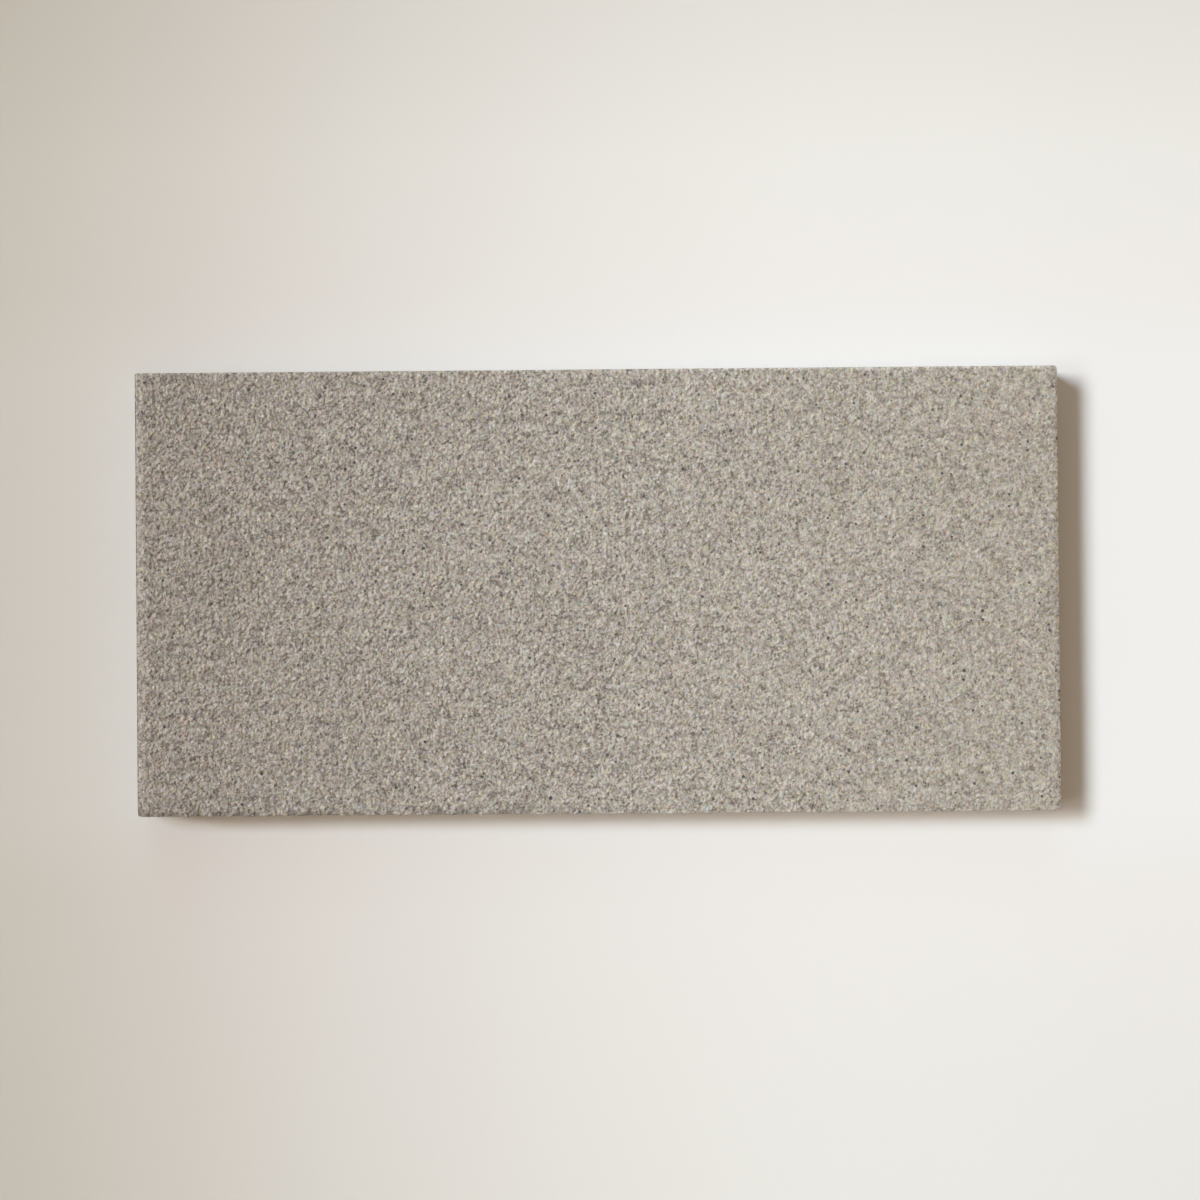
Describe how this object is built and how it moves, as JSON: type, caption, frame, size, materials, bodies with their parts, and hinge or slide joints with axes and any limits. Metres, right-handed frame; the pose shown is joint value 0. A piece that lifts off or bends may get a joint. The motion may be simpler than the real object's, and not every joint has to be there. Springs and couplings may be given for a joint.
{
  "type": "clinker floor tile",
  "caption": "Rectangular unglazed fired-clay floor tile with a flat speckled face, softly rolled short ends and dovetail keying grooves along its back.",
  "frame": {"origin": "middle of the ribbed back, at the centre of the tile's plan", "axes": "+X along the length, +Y across the width, +Z out of the wear face"},
  "size_m": [0.24, 0.1156, 0.01],
  "materials": {
    "fired_clay": "matte unglazed, speckled warm grey"
  },
  "bodies": {
    "root": {"tile": "fired_clay"}
  },
  "joints": []
}
